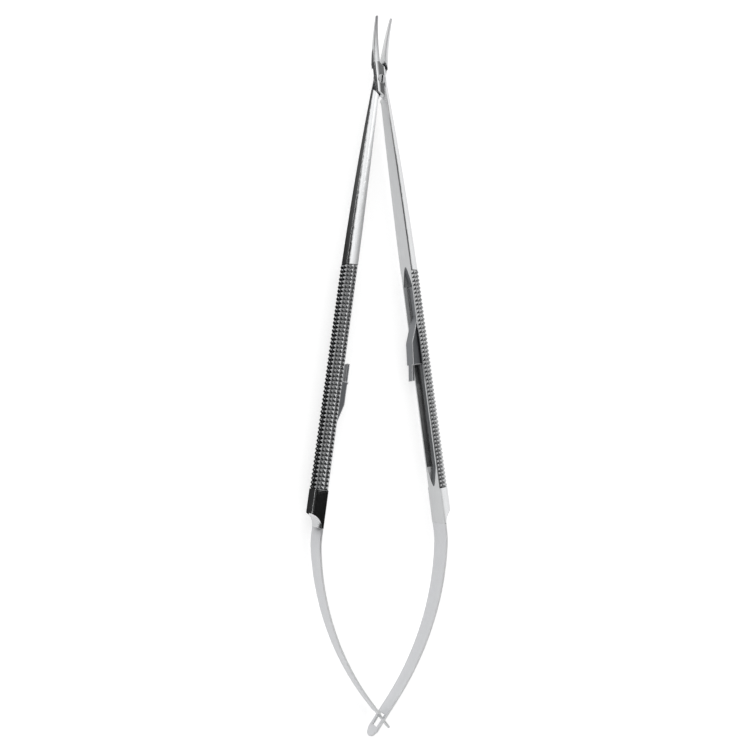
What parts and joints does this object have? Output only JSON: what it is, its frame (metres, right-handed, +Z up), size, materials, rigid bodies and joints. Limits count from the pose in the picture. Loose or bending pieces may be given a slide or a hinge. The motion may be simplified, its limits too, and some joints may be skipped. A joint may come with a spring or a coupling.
{
  "type": "micro needle holder",
  "caption": "Spring-handled micro surgical needle holder with curved jaws, half-round cross-cut grips, crossing leaf springs and a hook lock.",
  "frame": {"origin": "on the surface that it lies on, under the middle of its bounding box at rest", "axes": "+Y along the instrument towards the jaw tips, +X the way the right handle opens, +Z up, the way the jaws curve"},
  "size_m": [0.0386, 0.1806, 0.007],
  "materials": {
    "satin_steel": "satin stainless steel, brushed along the arms",
    "spring_steel": "pale satin stainless spring steel",
    "screw_steel": "turned stainless steel",
    "lock_steel": "dark satin stainless steel"
  },
  "bodies": {
    "front_half": {"front_arm": "satin_steel", "lock_catch": "lock_steel"},
    "rear_half": {"rear_arm": "satin_steel", "lock_keeper": "lock_steel", "pivot_screw": "screw_steel"},
    "front_leaf": {"front_spring": "spring_steel"},
    "rear_leaf": {"rear_spring": "spring_steel"}
  },
  "joints": [
    {"name": "jaw_pivot", "type": "hinge", "parent": "front_half", "child": "rear_half", "pos_m": [0, 0.07443, 0.0035], "axis": [0, 0, 1], "range_deg": [0, 12.4], "stiffness_Nm_per_rad": 1},
    {"name": "front_leaf_flex", "type": "hinge", "parent": "front_half", "child": "front_leaf", "pos_m": [0.0165, -0.04009, 0.0035], "axis": [0, 0, 1], "range_deg": [0, 21.2]},
    {"name": "rear_leaf_flex", "type": "hinge", "parent": "rear_half", "child": "rear_leaf", "pos_m": [-0.0165, -0.04009, 0.0035], "axis": [0, 0, -1], "range_deg": [0, 21.2]}
  ],
  "couplings": [
    {"joint": "front_leaf_flex", "follows": "jaw_pivot", "ratio": 1.7074},
    {"joint": "rear_leaf_flex", "follows": "jaw_pivot", "ratio": 1.7074}
  ]
}
